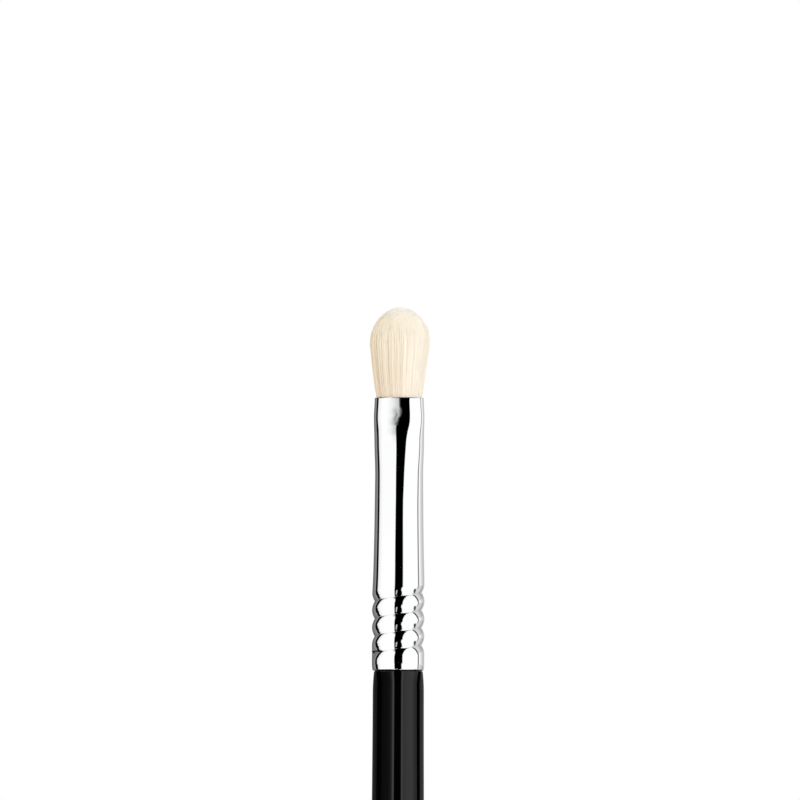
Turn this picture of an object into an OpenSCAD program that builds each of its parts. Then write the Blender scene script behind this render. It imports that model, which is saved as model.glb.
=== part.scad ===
// Eyeshadow brush: a lacquered wooden handle, a plated metal ferrule that is crimped
// onto the handle's tenon, and a soft domed tuft whose roots are set in the ferrule.
// The axis is Z, the tail's tip is at the origin, and the tuft points up. The mouth's
// wide side lies along X.

/* [Handle] */
// Length of the handle below the ferrule
handle_l = 124.1; // [90:0.1:160]
// Width of the straight tail
tail_d = 4.6; // [4:0.1:5.6]
// Length from the tip to the end of the straight tail
tail_l = 12; // [8:0.5:20]
// Length of the tail's rounded tip
tip_l = 1.6; // [1:0.1:2.4]
// Width at the swell, where the fingers hold it
swell_d = 7.35; // [7.1:0.05:9]
// Distance from the ferrule down to the swell
swell_drop = 28; // [16:1:45]
// How far the handle's edge lies inside the ferrule's lip
shoulder_step = 0.18; // [0.1:0.02:0.24]
// Length of the rounding below the ferrule
shoulder_l = 3.2; // [2:0.1:8]
// How much the radius grows over that rounding
shoulder_rise = 0.18; // [0.08:0.02:0.3]
// Thickness of the lacquer
lacquer_t = 0.12; // [0.08:0.01:0.16]
// How much thicker the lacquer is at the tail's tip, where it ran down as it dried
lacquer_run_t = 0.05; // [0.02:0.01:0.1]

/* [Tenon] */
// Length of the tenon past the crimp
nose_l = 5.5; // [4.5:0.1:7.5]
// Chamfer at the tenon's end
tenon_chamfer = 0.4; // [0.2:0.1:0.8]
// Length of the glue round the end of the tenon
glue_l = 4; // [2:0.1:4.4]
// Least thickness of that glue
glue_t = 0.1; // [0.06:0.01:0.3]
// Thickness of the glue over the end of the tenon
glue_cap_t = 0.6; // [0.3:0.1:1.5]

/* [Ferrule] */
// Length of the ferrule
ferrule_l = 38.2; // [36:0.1:48]
// Thickness of the metal
ferrule_wall = 0.3; // [0.2:0.02:0.36]
// Width across the collar and the crests of the crimp
collar_d = 7.32; // [7.2:0.02:8]
// Width of the round tube above the crimp
tube_d = 6.76; // [6.6:0.02:7]
// Width of the oval mouth
mouth_w = 7.06; // [6.8:0.02:7.6]
// Thickness of the oval mouth
mouth_t = 5.12; // [4.6:0.02:6]
// Width of the brow, the broadest place just below the mouth
brow_w = 7.3; // [7:0.02:7.8]
// Thickness of the brow
brow_t = 5.04; // [4.6:0.02:6]
// Distance from the mouth down to the brow
brow_drop = 2.8; // [2.2:0.1:3.6]
// Width of the neck, where the flat that was pressed below the mouth starts
neck_w = 7.06; // [6.8:0.02:7.4]
// Thickness of the neck
neck_t = 6; // [5.2:0.02:6.6]
// Distance from the mouth down to the neck
neck_drop = 6; // [5:0.1:8]
// Distance from the mouth down to where the round tube starts to turn flatter
oval_drop = 16; // [12:0.5:18]
// Distance from the mouth down to where it starts to widen
flare_drop = 11; // [9:0.5:16]
// Length of the taper above the crimp
taper_l = 17; // [10:0.1:20]
// Height of the lip that curls in at the bottom
lip_l = 1.1; // [0.6:0.1:1.6]
// How far the lip curls in
lip_curl = 0.08; // [0.04:0.01:0.14]

/* [Crimp] */
// Height where the rolled groove starts
crimp_z = 2.33; // [2:0.05:4]
// Angle round the ferrule where it starts
crimp_start_angle = 200; // [0:5:355]
// Rise of the groove in one turn
crimp_pitch = 2.45; // [2:0.05:2.6]
// Turns of the groove
crimp_turns = 3.65; // [2:0.05:3.8]
// Depth of the groove
crimp_depth = 0.4; // [0.2:0.02:0.5]
// Angle over which each end of the groove fades out
crimp_run_in = 60; // [30:5:120]

/* [Tuft] */
// Length of the hair that shows above the ferrule
tuft_l = 12.7; // [9:0.1:16]
// Width of the tuft at its belly
tuft_w = 8.6; // [7.6:0.02:10]
// Thickness of the tuft at its belly
tuft_t = 6.5; // [5.8:0.1:8]
// Height of the belly above the ferrule's mouth
belly_z = 7.5; // [5:0.1:8.5]
// Number of strands
strand_count = 400; // [300:10:430]

/* [Roots] */
// Depth below the mouth of the slice that the strands stand in
slice_drop = 0.9; // [0.6:0.1:1.6]
// Thickness of that slice
slice_t = 1; // [0.6:0.1:1.6]
// How far the strands reach into the slice
strand_root = 0.5; // [0.2:0.1:0.5]
// Distance from the glue up to the lowest roots
root_gap = 2; // [1:0.1:4]
// Width of the band of thread
thread_w = 2.4; // [1:0.1:3]
// Thickness of the band of thread
thread_t = 0.36; // [0.2:0.02:0.5]
// How far the roots reach below the thread
root_l = 1.2; // [0.6:0.1:2.4]

/* [Hidden] */

// Clearance between pieces that are set into each other
fit_gap = 0.02;

// Counts of facets and steps
wall_sides = 32;
strand_sides = 3;
rings_per_turn = 6;
taper_rings = 5;
oval_rings = 6;
press_rings = 4;
mouth_rings = 2;
tip_steps = 8;
tail_steps = 22;
swell_steps = 10;
shoulder_steps = 6;
round_fn = 96;

// Share of a strand's length where its point starts
point_share = 0.88;
// Share of the room between two strands that they fill
fill_share = 0.92;
// The nearest two places of the spiral lie this far apart, where the disc is 1 / sqrt(count)
spiral_pitch_share = 1.5;
golden_angle = 360 * (3 - sqrt(5)) / 2;

// Handle, worked out
collar_r = collar_d / 2;
swell_z = handle_l - swell_drop;
shoulder_z = handle_l - shoulder_l;
shoulder_r = collar_r - lip_curl - shoulder_step;
neck_r = shoulder_r + shoulder_rise;
tip_coat_t = lacquer_t + lacquer_run_t;

// Ferrule, worked out: heights are above its lower rim, which is at handle_l
crimp_end_angle = crimp_start_angle + 360 * crimp_turns;
crimp_end_z = crimp_z + crimp_pitch * crimp_turns;
taper_z = crimp_end_z - crimp_pitch / 4;
oval_z = ferrule_l - oval_drop;
flare_z = ferrule_l - flare_drop;
neck_z = ferrule_l - neck_drop;
brow_z = ferrule_l - brow_drop;
crimp_low_z = crimp_z - crimp_pitch / 2;
crimp_high_z = crimp_end_z + crimp_pitch / 2;

// Tenon and glue, worked out: the crimp bites as deep as the tenon, and the glue fills
// the bore round the tenon's nose
tenon_l = crimp_high_z + nose_l;
tenon_r = round_r(crimp_end_z) - ferrule_wall - crimp_depth - fit_gap;
glue_foot_z = tenon_l - glue_l;
glue_top_z = tenon_l + glue_cap_t;
facet_share = cos(180 / wall_sides);
glue_r = (round_r(glue_top_z) - ferrule_wall) * facet_share - fit_gap;
nose_r = min(tenon_r, glue_r - glue_t - fit_gap);

// Roots, worked out
plug_inset = ferrule_wall + fit_gap;
slice_top_z = ferrule_l - slice_drop;
slice_foot_z = slice_top_z - slice_t;
plug_foot_z = glue_top_z + root_gap;
thread_low_z = plug_foot_z + root_l;
thread_high_z = thread_low_z + thread_w;
thread_edge = thread_t / 3;

// Tuft, worked out: heights are above the ferrule's mouth
strand_foot_z = -slice_drop - strand_root;
strand_unit_r = fill_share * spiral_pitch_share / sqrt(strand_count) / 2;
mouth_half_w = mouth_w / 2 - plug_inset;
mouth_half_t = mouth_t / 2 - plug_inset;

function lerp(a, b, t) = a + (b - a) * t;
function eased(t) = let (u = min(max(t, 0), 1)) u * u * (3 - 2 * u);
function steps(from, to, count) = [for (i = [1:count]) lerp(from, to, i / count)];

// Radius of the handle at a height above its tip
function handle_r(z) =
    z <= tail_l ? tail_d / 2
    : z < swell_z
        ? lerp(tail_d / 2, swell_d / 2, (1 - cos(180 * (z - tail_l) / (swell_z - tail_l))) / 2)
    : z < shoulder_z
        ? lerp(swell_d / 2, neck_r, eased((z - swell_z) / (shoulder_z - swell_z)))
    : neck_r - shoulder_rise * pow((z - shoulder_z) / shoulder_l, 2);

// Outline of the handle from its tip to the ferrule, drawn in by a thickness, and at the
// tip by another one
function handle_outline(inset, tip_inset) = concat(
    [for (i = [0:tip_steps])
        let (a = 90 * i / tip_steps)
        [(tail_d / 2 - tip_inset) * sin(a), tip_l - (tip_l - tip_inset) * cos(a)]],
    [for (z = concat([tail_l],
                     steps(tail_l, swell_z, tail_steps),
                     steps(swell_z, shoulder_z, swell_steps),
                     steps(shoulder_z, handle_l, shoulder_steps)))
        [handle_r(z) - inset, z]]
);

// Radius of the ferrule's round tube at a height above its lower rim
function round_r(h) =
    h < lip_l ? collar_r - lip_curl * pow(1 - h / lip_l, 2)
    : h < taper_z ? collar_r
    : h < taper_z + taper_l
        ? lerp(tube_d / 2, collar_r, pow(1 - (h - taper_z) / taper_l, 2))
    : tube_d / 2;

// Half width and half thickness of the ferrule. The tube turns oval as far as the neck,
// is pressed flatter as far as the brow, and opens again a little at the mouth.
function head(h, start_z, neck, brow, mouth) =
    (neck - tube_d) / 2 * eased((h - start_z) / (neck_z - start_z))
    + (brow - neck) / 2 * eased((h - neck_z) / (brow_z - neck_z))
    + (mouth - brow) / 2 * eased((h - brow_z) / brow_drop);
function half_w(h) = round_r(h) + head(h, flare_z, neck_w, brow_w, mouth_w);
function half_t(h) = round_r(h) + head(h, oval_z, neck_t, brow_t, mouth_t);

// Depth of the rolled groove, which climbs to the right round the ferrule
function groove(h, angle) =
    let (turn = round((h - crimp_z) / crimp_pitch - (angle - crimp_start_angle) / 360),
         along = angle + 360 * turn,
         valley = crimp_z + crimp_pitch * (along - crimp_start_angle) / 360,
         fade = eased((along - crimp_start_angle) / crimp_run_in)
              * eased((crimp_end_angle - along) / crimp_run_in))
    crimp_depth * fade * (1 - sin(180 * min(abs(h - valley) / crimp_pitch, 1 / 2)));

// A ring of the ferrule's wall, drawn in by a thickness
function wall_ring(h, inset) = [
    for (j = [0:wall_sides - 1])
        let (a = 360 * j / wall_sides, g = groove(h, a))
        [(half_w(h) - inset - g) * cos(a), (half_t(h) - inset - g) * sin(a), handle_l + h]
];

ferrule_heights = concat(
    [0, lip_l / 2],
    [for (z = [crimp_low_z:crimp_pitch / rings_per_turn:crimp_high_z]) z],
    steps(crimp_high_z, oval_z, taper_rings),
    steps(oval_z, neck_z, oval_rings),
    steps(neck_z, brow_z, press_rings),
    steps(brow_z, ferrule_l, mouth_rings)
);

// Those of its heights that lie between two others, with these
function heights_between(low, high) =
    concat([low], [for (h = ferrule_heights) if (h > low && h < high) h], [high]);

// Triangles between rings of equal count, each ring joined to the next one up.
// A loop joins the last ring to the first again.
function skin(rings, sides, loop) = [
    for (i = [0:rings - (loop ? 1 : 2)], j = [0:sides - 1])
        let (k = (j + 1) % sides,
             low = i * sides,
             high = ((i + 1) % rings) * sides)
        each [[low + j, high + k, low + k], [low + j, high + j, high + k]]
];
function foot_cap(sides) = [for (j = [1:sides - 2]) [0, j, j + 1]];
function head_cap(rings, sides) =
    let (first = (rings - 1) * sides)
    [for (j = [1:sides - 2]) [first, first + j + 1, first + j]];

// A closed solid through a list of rings
module stack(rings) {
    count = len(rings);
    sides = len(rings[0]);
    polyhedron([for (ring = rings) each ring],
               concat(foot_cap(sides), skin(count, sides, false), head_cap(count, sides)));
}

// Half width and half thickness of the bundle of strands at a height above the mouth
function fan(h) = min((h - strand_foot_z) / (belly_z - strand_foot_z), 1);
function bundle_w(h) =
    lerp(mouth_half_w, tuft_w / 2, (fan(h) - fan(0)) / (1 - fan(0)));
function bundle_t(h) =
    lerp(mouth_half_t, tuft_t / 2, (fan(h) - fan(0)) / (1 - fan(0)));

// A strand stands at a place in the unit disc, and the bundle's half sizes spread it
function strand_ring(place, h, width, twist) = [
    for (j = [0:strand_sides - 1])
        let (a = twist + 360 * j / strand_sides)
        [(place[0] + width * cos(a)) * bundle_w(h),
         (place[1] + width * sin(a)) * bundle_t(h),
         handle_l + ferrule_l + h]
];

module strand(index) {
    reach = sqrt((index + 1 / 2) / strand_count) * (1 - strand_unit_r);
    turned = index * golden_angle;
    place = reach * [cos(turned), sin(turned)];
    top = belly_z + (tuft_l - belly_z) * sqrt(1 - reach * reach);
    rings = [for (h = [strand_foot_z, top * point_share])
        strand_ring(place, h, strand_unit_r, turned)];
    point = [place[0] * bundle_w(top), place[1] * bundle_t(top), handle_l + ferrule_l + top];
    last = (len(rings) - 1) * strand_sides;
    polyhedron([each [for (ring = rings) each ring], point],
               concat(foot_cap(strand_sides), skin(len(rings), strand_sides, false),
                      [for (j = [0:strand_sides - 1])
                          [last + j, last + strand_sides, last + (j + 1) % strand_sides]]));
}

// Turned wood: the handle's body with the tenon that the ferrule is crimped onto
module handle_core() {
    nose_z = handle_l + crimp_high_z;
    top_z = handle_l + tenon_l;
    color("burlywood")
    rotate_extrude($fn = round_fn)
    polygon(concat(
        handle_outline(lacquer_t, tip_coat_t),
        [[tenon_r, handle_l],
         [tenon_r, nose_z],
         [nose_r, nose_z + tenon_chamfer],
         [nose_r, top_z - tenon_chamfer],
         [nose_r - tenon_chamfer, top_z],
         [0, top_z]]
    ));
}

// Black gloss lacquer over all of the handle that shows
module lacquer_coat() {
    inside = handle_outline(lacquer_t, tip_coat_t);
    color([0.04, 0.04, 0.045])
    rotate_extrude($fn = round_fn)
    polygon(concat(
        handle_outline(0, 0),
        [for (i = [len(inside) - 1:-1:0]) inside[i]]
    ));
}

// Glue that caps the tenon's end and fills the bore round it
module tenon_glue() {
    inner_r = nose_r + fit_gap;
    seat_z = handle_l + tenon_l + fit_gap;
    color("khaki")
    rotate_extrude($fn = round_fn)
    polygon([
        [inner_r, handle_l + glue_foot_z],
        [glue_r, handle_l + glue_foot_z],
        [glue_r, handle_l + glue_top_z],
        [0, handle_l + glue_top_z],
        [0, seat_z],
        [inner_r - tenon_chamfer, seat_z],
        [inner_r, seat_z - tenon_chamfer]
    ]);
}

// Plated tube, with the rolled crimp near its foot and its mouth pressed to an oval
module ferrule() {
    last = len(ferrule_heights) - 1;
    rings = concat(
        [for (h = ferrule_heights) wall_ring(h, 0)],
        [for (i = [last:-1:0]) wall_ring(ferrule_heights[i], ferrule_wall)]
    );
    color("silver")
    polyhedron([for (ring = rings) each ring], skin(len(rings), wall_sides, true));
}

// Roots of the hair, set in resin, with a waist for the thread that ties them
module root_plug() {
    waist_inset = plug_inset + thread_t + fit_gap;
    waist_low = thread_low_z - fit_gap;
    waist_high = thread_high_z + fit_gap;
    color("peru")
    stack(concat(
        [for (h = heights_between(plug_foot_z, waist_low)) wall_ring(h, plug_inset)],
        [for (h = heights_between(waist_low, waist_high)) wall_ring(h, waist_inset)],
        [for (h = heights_between(waist_high, slice_foot_z)) wall_ring(h, plug_inset)]
    ));
}

// Band of thread wound round the roots, where the hair is tied into a knot
module knot_thread() {
    heights = heights_between(thread_low_z + thread_edge, thread_high_z - thread_edge);
    last = len(heights) - 1;
    middle_inset = plug_inset + thread_t / 2;
    rings = concat(
        [for (h = heights) wall_ring(h, plug_inset)],
        [wall_ring(thread_high_z, middle_inset)],
        [for (i = [last:-1:0]) wall_ring(heights[i], plug_inset + thread_t)],
        [wall_ring(thread_low_z, middle_inset)]
    );
    color("white")
    polyhedron([for (ring = rings) each ring], skin(len(rings), wall_sides, true));
}

// Soft hair: strands that fan out from a slice of the bound roots and end in a dome
module bristle_tuft() {
    color("antiquewhite")
    union() {
        stack([wall_ring(slice_foot_z, plug_inset), wall_ring(slice_top_z, plug_inset)]);
        for (i = [0:strand_count - 1]) strand(i);
    }
}

handle_core();
lacquer_coat();
tenon_glue();
ferrule();
root_plug();
knot_thread();
bristle_tuft();
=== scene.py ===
# %% [markdown]
# # An eyeshadow brush: lacquered handle, plated ferrule, soft domed tuft
#
# The measured solids are loaded first and stay fixed. Each shop finish and each piece
# that needs more than a solid gives is then made over them, in metres, with the tip of
# the handle at the origin and the hair pointing up.

# %% Load the measured solids
import math
import bpy
import numpy as np
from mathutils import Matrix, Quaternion, Vector


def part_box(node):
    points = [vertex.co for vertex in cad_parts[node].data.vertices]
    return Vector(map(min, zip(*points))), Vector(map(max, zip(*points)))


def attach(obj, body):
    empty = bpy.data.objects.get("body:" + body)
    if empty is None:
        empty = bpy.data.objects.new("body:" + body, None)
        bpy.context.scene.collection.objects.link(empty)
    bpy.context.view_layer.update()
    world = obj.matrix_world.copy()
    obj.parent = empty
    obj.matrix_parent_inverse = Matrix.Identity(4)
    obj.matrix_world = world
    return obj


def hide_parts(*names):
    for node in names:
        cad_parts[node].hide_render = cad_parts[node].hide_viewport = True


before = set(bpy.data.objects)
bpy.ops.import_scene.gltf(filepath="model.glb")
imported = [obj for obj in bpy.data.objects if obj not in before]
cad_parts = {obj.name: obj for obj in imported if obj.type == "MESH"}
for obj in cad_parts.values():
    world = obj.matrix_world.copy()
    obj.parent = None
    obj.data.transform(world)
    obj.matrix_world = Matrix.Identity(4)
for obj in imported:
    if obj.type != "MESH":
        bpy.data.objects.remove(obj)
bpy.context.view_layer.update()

# %% [markdown]
# The sizes below are the ones that the solids were drawn with, in millimetres. Only the
# groove starts over a shorter stretch than theirs. The heights of the ferrule are counted
# from its lower rim, and those of the hair from its mouth, as a brush maker would.

# %% Sizes in millimetres
MM = 0.001
MERGE_WITHIN = 2e-7  # metres
RIM_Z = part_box("ferrule")[0].z / MM
MOUTH_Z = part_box("ferrule")[1].z / MM
FERRULE_L = MOUTH_Z - RIM_Z
COLLAR_D, TUBE_D, WALL = 7.32, 6.76, 0.3
MOUTH_W, MOUTH_T = 7.06, 5.12
BROW_W, BROW_T, BROW_DROP = 7.3, 5.04, 2.8
NECK_W, NECK_T, NECK_DROP = 7.06, 6.0, 6.0
OVAL_DROP, FLARE_DROP, TAPER_L = 16.0, 11.0, 17.0
LIP_L, LIP_CURL = 1.1, 0.08
CRIMP_Z, CRIMP_START, CRIMP_PITCH = 2.33, 200.0, 2.45
CRIMP_TURNS, CRIMP_DEPTH, CRIMP_RUN_IN, CRIMP_RUN_OUT = 3.65, 0.4, 18.0, 60.0
TUFT_L, TUFT_W, TUFT_T, BELLY_Z = 12.7, 8.6, 6.5, 7.5
DOME_L = TUFT_L - BELLY_Z
HANDLE_L, TAIL_D, TAIL_L, TIP_L = 124.1, 4.6, 12.0, 1.6
SWELL_D, SWELL_Z = 7.35, 96.1
SHOULDER_L, SHOULDER_RISE, SHOULDER_R = 3.2, 0.18, 3.4
COAT_T, TIP_COAT_T = 0.12, 0.17
print("ferrule from", RIM_Z, "to", MOUTH_Z)

# %% [markdown]
# ## The camera
#
# The photograph is a close view of the head from far away, through a long lens that looks
# up by two and a half degrees. The mouth's oval is turned 20 degrees from the picture
# plane, so the camera stands 20 degrees round to the right. 800 pixels span 112 mm. The
# brush leans a quarter of a degree to the right, which is a roll of the camera.

# %% Camera
PICTURE_SPAN, CAMERA_DISTANCE, SENSOR_WIDTH = 112.0, 2.0, 36.0
LOOK_AT_Z, LOOK_ASIDE, CAMERA_ROLL = 161.98, 0.078, 0.0039
CAMERA_TURN, CAMERA_RISE = math.radians(20), math.radians(-2.5)
back = Vector((math.sin(CAMERA_TURN) * math.cos(CAMERA_RISE),
               -math.cos(CAMERA_TURN) * math.cos(CAMERA_RISE), math.sin(CAMERA_RISE)))
right = Vector((math.cos(CAMERA_TURN), math.sin(CAMERA_TURN), 0))
target = Vector((0, 0, LOOK_AT_Z * MM)) + right * LOOK_ASIDE * MM
bpy.ops.object.camera_add(location=target + back * CAMERA_DISTANCE)
camera = bpy.context.object
roll = Quaternion((0, 0, 1), CAMERA_ROLL)
camera.rotation_euler = ((-back).to_track_quat("-Z", "Y") @ roll).to_euler()
camera.data.sensor_width = SENSOR_WIDTH
camera.data.lens = SENSOR_WIDTH * CAMERA_DISTANCE / (PICTURE_SPAN * MM)
camera.data.clip_start, camera.data.clip_end = 0.01, 50
bpy.context.scene.camera = camera
bpy.context.scene.view_settings.view_transform = "Standard"
print("lens", round(camera.data.lens, 1))

# %% [markdown]
# ## Helpers for materials
#
# Every finish is a Principled shader whose colour, roughness or bump is fed by a few
# procedural nodes that read the piece's own Object coordinates. These helpers keep the
# node wiring short.

# %% Material helpers
def finish(name, base, roughness, metallic=0.0, specular=0.5):
    """A new material and its Principled shader, with the plain values on its sockets."""
    material = bpy.data.materials.new(name)
    material.use_nodes = True
    shader = material.node_tree.nodes["Principled BSDF"]
    shader.inputs["Base Color"].default_value = (*base, 1)
    shader.inputs["Roughness"].default_value = roughness
    shader.inputs["Metallic"].default_value = metallic
    shader.inputs["Specular IOR Level"].default_value = specular
    return material, shader


def node(material, kind, **inputs):
    """Add a node and set its sockets by name."""
    made = material.node_tree.nodes.new("ShaderNode" + kind)
    for socket, value in inputs.items():
        made.inputs[socket.replace("_", " ")].default_value = value
    return made


def wire(material, *ends):
    """Join pairs of sockets, from an output to an input."""
    for start, end in zip(ends[::2], ends[1::2]):
        material.node_tree.links.new(start, end)


def own_place(material):
    """The piece's own Object coordinates."""
    return node(material, "TexCoord").outputs["Object"]


def placed(material, **moves):
    """Object coordinates, moved, turned or stretched along each axis."""
    made = node(material, "Mapping", **moves)
    wire(material, own_place(material), made.inputs["Vector"])
    return made.outputs["Vector"]


def split(material, vector):
    """The X, Y and Z of a vector."""
    made = node(material, "SeparateXYZ")
    wire(material, vector, made.inputs["Vector"])
    return made.outputs


def length(material, vector):
    """The length of a vector."""
    made = node(material, "VectorMath")
    made.operation = "LENGTH"
    wire(material, vector, made.inputs[0])
    return made.outputs["Value"]


def reckon(material, operation, first, second):
    """One Math node on two values, the second of which may be a plain number."""
    made = node(material, "Math")
    made.operation = operation
    wire(material, first, made.inputs[0])
    if isinstance(second, (int, float)):
        made.inputs[1].default_value = second
    else:
        wire(material, second, made.inputs[1])
    return made.outputs[0]


def noise(material, scale, size, detail):
    """A cloudy pattern, from 0 to 1, over stretched Object coordinates."""
    made = node(material, "TexNoise", Scale=size, Detail=detail)
    wire(material, placed(material, Scale=scale), made.inputs["Vector"])
    return made.outputs["Fac"]


def spread(material, source, low, high, start=0.3, end=0.7):
    """Map a pattern's middle range onto a range of values."""
    made = node(material, "MapRange")
    for socket, value in zip(("From Min", "From Max", "To Min", "To Max"),
                             (start, end, low, high)):
        made.inputs[socket].default_value = value
    wire(material, source, made.inputs["Value"])
    return made.outputs["Result"]


def tinted(material, source, colours):
    """Turn a pattern into colours through a ramp of (place, colour) stops."""
    ramp = material.node_tree.nodes.new("ShaderNodeValToRGB")
    stops = ramp.color_ramp.elements
    stops[0].position, stops[1].position = colours[0][0], colours[-1][0]
    for place, _ in colours[1:-1]:
        stops.new(place)
    for stop, (_, colour) in zip(stops, colours):
        stop.color = (*colour, 1)
    wire(material, source, ramp.inputs["Fac"])
    return ramp.outputs["Color"]


def greys(material, source, stops):
    """Turn a pattern into grey levels through a ramp of (place, level) stops."""
    return tinted(material, source, [(at, (level,) * 3) for at, level in stops])


def mixed(material, amount, under, over):
    """One colour laid over another, by an amount from 0 to 1."""
    made = node(material, "Mix")
    made.data_type = "RGBA"
    wire(material, amount, made.inputs[0], under, made.inputs[6], over, made.inputs[7])
    return made.outputs[2]


def crossfade(material, amount, under, over):
    """Blend one shader into another, as the material's surface."""
    made = node(material, "MixShader")
    surface = material.node_tree.nodes["Material Output"].inputs["Surface"]
    wire(material, amount, made.inputs["Fac"], under.outputs[0], made.inputs[1],
         over.outputs[0], made.inputs[2], made.outputs[0], surface)


def bumped(material, shader, height, distance):
    """Feed a height pattern into the shader's normal, as a bump of a real depth."""
    made = node(material, "Bump", Strength=1.0, Distance=distance)
    wire(material, height, made.inputs["Height"],
         made.outputs["Normal"], shader.inputs["Normal"])


def patterned(material, shader, pattern, colours, depth=0):
    """Colour a finish by a pattern, and emboss it where the pattern has a depth."""
    wire(material, tinted(material, pattern, colours), shader.inputs["Base Color"])
    if depth:
        bumped(material, shader, pattern, depth)


# %% [markdown]
# ## Helpers for pieces
#
# A finished piece rides on the one body of this object and takes the finish that it is
# given. The nodes that it stands for are hidden, but keep their place.

# %% Piece helpers
def pick_only(piece):
    """Deselect everything and make one piece active."""
    bpy.ops.object.select_all(action="DESELECT")
    piece.select_set(True)
    bpy.context.view_layer.objects.active = piece


def hand_over(piece, material, slot, *stands_for):
    """Give a finished piece its material and its place on the object. Its slot is not used."""
    piece.data.materials.clear()
    piece.data.materials.append(material)
    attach(piece, "root")
    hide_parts(*stands_for)
    print(piece.name, "has", sum(len(f.vertices) - 2 for f in piece.data.polygons),
          "triangles")


def single_point(name):
    """A new object that is one vertex on the axis: a plane merged at its centre."""
    bpy.ops.object.select_all(action="DESELECT")
    bpy.ops.mesh.primitive_plane_add(size=MM)
    piece = bpy.context.object
    piece.name = piece.data.name = name
    bpy.ops.object.mode_set(mode="EDIT")
    bpy.ops.mesh.select_all(action="SELECT")
    bpy.ops.mesh.merge(type="CENTER")
    return piece


def lathe(name, outline, sides):
    """Spin an outline of (radius, height) points in millimetres round the upright axis.

    The spin operator turns clockwise, so its axis points down to turn the other way.
    """
    piece = single_point(name)
    at = Vector((0, 0, 0))
    for radius, height in outline:
        goal = Vector((radius, 0, height)) * MM
        if at.length == 0:
            bpy.ops.transform.translate(value=goal)
        else:
            bpy.ops.mesh.extrude_region_move(TRANSFORM_OT_translate={"value": goal - at})
        at = goal
    bpy.ops.mesh.select_all(action="SELECT")
    bpy.ops.mesh.spin(steps=sides, angle=math.tau, center=(0, 0, 0), axis=(0, 0, -1))
    bpy.ops.mesh.select_all(action="SELECT")
    bpy.ops.mesh.remove_doubles(threshold=MERGE_WITHIN)
    bpy.ops.mesh.normals_make_consistent(inside=False)
    bpy.ops.object.mode_set(mode="OBJECT")
    bpy.ops.object.shade_smooth()
    return piece


def eased(t):
    """A smooth step from 0 to 1."""
    u = np.clip(t, 0, 1)
    return u * u * (3 - 2 * u)


# %% [markdown]
# ## Light
#
# A brush head is shot in a white light tent. Here the world is that tent: it is white
# where the camera and the reflections see it, and lights the hair softly from all sides
# at a plain level, a little warm. Three wide lamps shape the tuft: a cool one from the
# right, one from above, and a weak warm one in front. No reflection shows them.

# %% World and lamps
world = bpy.data.worlds.new("light_tent")
bpy.context.scene.world = world
world.use_nodes = True
TENT_LEVEL, TENT_TINT = 0.91, (1, 0.985, 0.89)
backdrop = world.node_tree.nodes["Background"]
path = node(world, "LightPath")
seen = reckon(world, "MAXIMUM", path.outputs["Is Camera Ray"], path.outputs["Is Glossy Ray"])
seen = reckon(world, "MAXIMUM", seen, path.outputs["Is Transmission Ray"])
wire(world, spread(world, seen, TENT_LEVEL, 1, 0, 1), backdrop.inputs["Strength"],
     tinted(world, seen, [(0, TENT_TINT), (1, (1, 1, 1))]), backdrop.inputs["Color"])

LAMP_DISTANCE = 0.9


def soft_lamp(name, turn, rise, size, power, colour):
    """A square area lamp that looks at the head, from so many degrees right of the camera."""
    a, e = CAMERA_TURN + math.radians(turn), math.radians(rise)
    aim = Vector((math.sin(a) * math.cos(e), -math.cos(a) * math.cos(e), math.sin(e)))
    mouth = Vector((0, 0, MOUTH_Z * MM))
    bpy.ops.object.light_add(type="AREA", location=mouth + aim * LAMP_DISTANCE)
    lamp = bpy.context.object
    lamp.name = name
    lamp.rotation_euler = (-aim).to_track_quat("-Z", "Y").to_euler()
    lamp.data.size, lamp.data.energy = size, power
    lamp.data.color = colour
    lamp.visible_glossy = False


soft_lamp("key_lamp", 38, 0, 0.8, 2.8, (0.8, 1.0, 1.36))
soft_lamp("top_lamp", 0, 80, 0.8, 1.7, (1, 1, 1.12))
soft_lamp("fill_lamp", -8, 0, 0.9, 0.7, (1, 1, 0.9))

# %% [markdown]
# Bright metal shows nothing but its surroundings, so a photographer shapes it with cards
# that stand in the white tent. Here a roll of paper stands round the brush, with a floor
# and a ceiling, and its white, grey and black strips are painted by bearing, in degrees
# to the right of the camera. The strips differ with the height above the brush, because
# the pressed head and the crimp tilt the metal up and down. Only reflections see it, so
# it neither dims the light on the hair nor hides the background.

# %% Painted strips by bearing
SET_STEPS = 96  # sides of the round pieces of the set
PAPER_GLOW = 1.04


def strips(material, bearing, stops):
    """Grey levels by bearing, as steps or slopes between (bearing, level) stops."""
    return greys(material, bearing, [((at + 180) / 360, level) for at, level in stops])


def bearing_of(material):
    """The bearing of a point round the upright axis, as 0 to 1 from one back to the other."""
    place = split(material, placed(material, Rotation=(0, 0, -CAMERA_TURN)))
    back_of_it = reckon(material, "MULTIPLY", place["Y"], -1)
    arc = reckon(material, "ARCTAN2", place["X"], back_of_it)
    return spread(material, arc, 0, 1, -math.pi, math.pi)


def glowing(name, strength=1.0):
    """A material that only gives off light, and its emission shader."""
    material = bpy.data.materials.new(name)
    material.use_nodes = True
    tree = material.node_tree
    tree.nodes.remove(tree.nodes["Principled BSDF"])
    glow = node(material, "Emission", Strength=strength)
    wire(material, glow.outputs[0], tree.nodes["Material Output"].inputs["Surface"])
    material.cycles.emission_sampling = "NONE"
    return material, glow


def reflection_only(card, material):
    """Make a card of the set that shows in reflections and nowhere else."""
    card.data.materials.append(material)
    card.visible_camera = card.visible_diffuse = card.visible_shadow = False
    card.visible_transmission = card.visible_volume_scatter = False


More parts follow.
